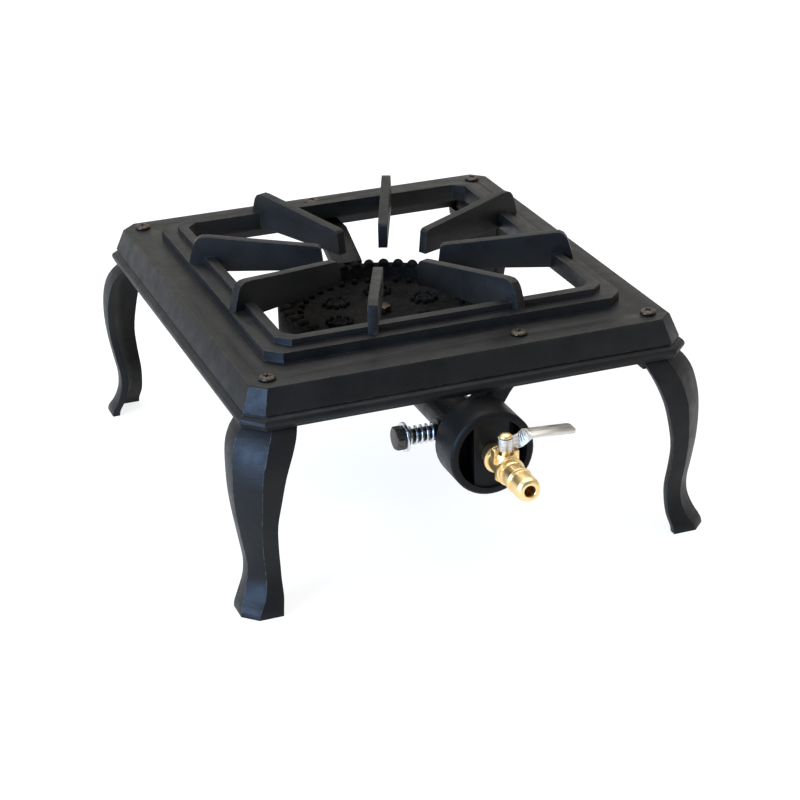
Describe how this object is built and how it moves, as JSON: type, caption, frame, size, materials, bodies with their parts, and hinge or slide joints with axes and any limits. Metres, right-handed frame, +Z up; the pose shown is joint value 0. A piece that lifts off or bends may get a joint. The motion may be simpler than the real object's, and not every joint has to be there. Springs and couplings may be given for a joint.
{
  "type": "propane burner stand",
  "caption": "Low cast-iron propane burner stand: rectangular frame with pot fingers on curved legs, round burner, mixing tube, brass gas valve with lever and an air screw.",
  "frame": {"origin": "on the floor, under the middle of the whole stand's bounding box", "axes": "+Z up, -Y towards the gas inlet, +X towards the valve lever"},
  "size_m": [0.2996, 0.4008, 0.1605],
  "materials": {
    "painted_iron": "satin black paint on sand-cast iron",
    "antique_steel": "dark antique plating",
    "zinc_steel": "bright zinc",
    "brass": "turned brass",
    "nickel": "satin nickel plate"
  },
  "bodies": {
    "stand": {"top_frame": "painted_iron", "leg_front_left": "painted_iron", "leg_front_right": "painted_iron", "leg_back_left": "painted_iron", "leg_back_right": "painted_iron", "leg_screw_front_left": "antique_steel", "leg_screw_front_right": "antique_steel", "leg_screw_back_left": "antique_steel", "leg_screw_back_right": "antique_steel", "leg_nut_front_left": "zinc_steel", "leg_nut_front_right": "zinc_steel", "leg_nut_back_left": "zinc_steel", "leg_nut_back_right": "zinc_steel", "burner_body": "painted_iron", "burner_head": "painted_iron", "burner_head_screw": "antique_steel", "burner_screw_front": "antique_steel", "burner_screw_back": "antique_steel", "air_screw_spring": "zinc_steel", "valve_body": "brass", "valve_plug_cap": "brass", "gas_jet": "brass", "hose_tail": "brass"},
    "valve_handle": {"valve_plug": "brass", "valve_lever": "nickel"},
    "washer": {"air_screw_washer": "zinc_steel"},
    "air_screw": {"air_screw": "antique_steel"}
  },
  "joints": [
    {"name": "valve_turn", "type": "hinge", "parent": "stand", "child": "valve_handle", "pos_m": [0, -0.16595, 0.0856], "axis": [0, 0, 1], "range_deg": [-90, 0]},
    {"name": "air_screw_travel", "type": "slide", "parent": "stand", "child": "washer", "axis": [1, 0, 0], "range_m": [0, 0.008], "deforming": ["air_screw_spring"]},
    {"name": "air_screw_turn", "type": "hinge", "parent": "washer", "child": "air_screw", "pos_m": [-0.042, -0.10595, 0.0858], "axis": [1, 0, 0], "range_deg": [0, 2304]}
  ],
  "couplings": [
    {"joint": "air_screw_turn", "follows": "air_screw_travel", "rad_per_m": 5026.5}
  ]
}
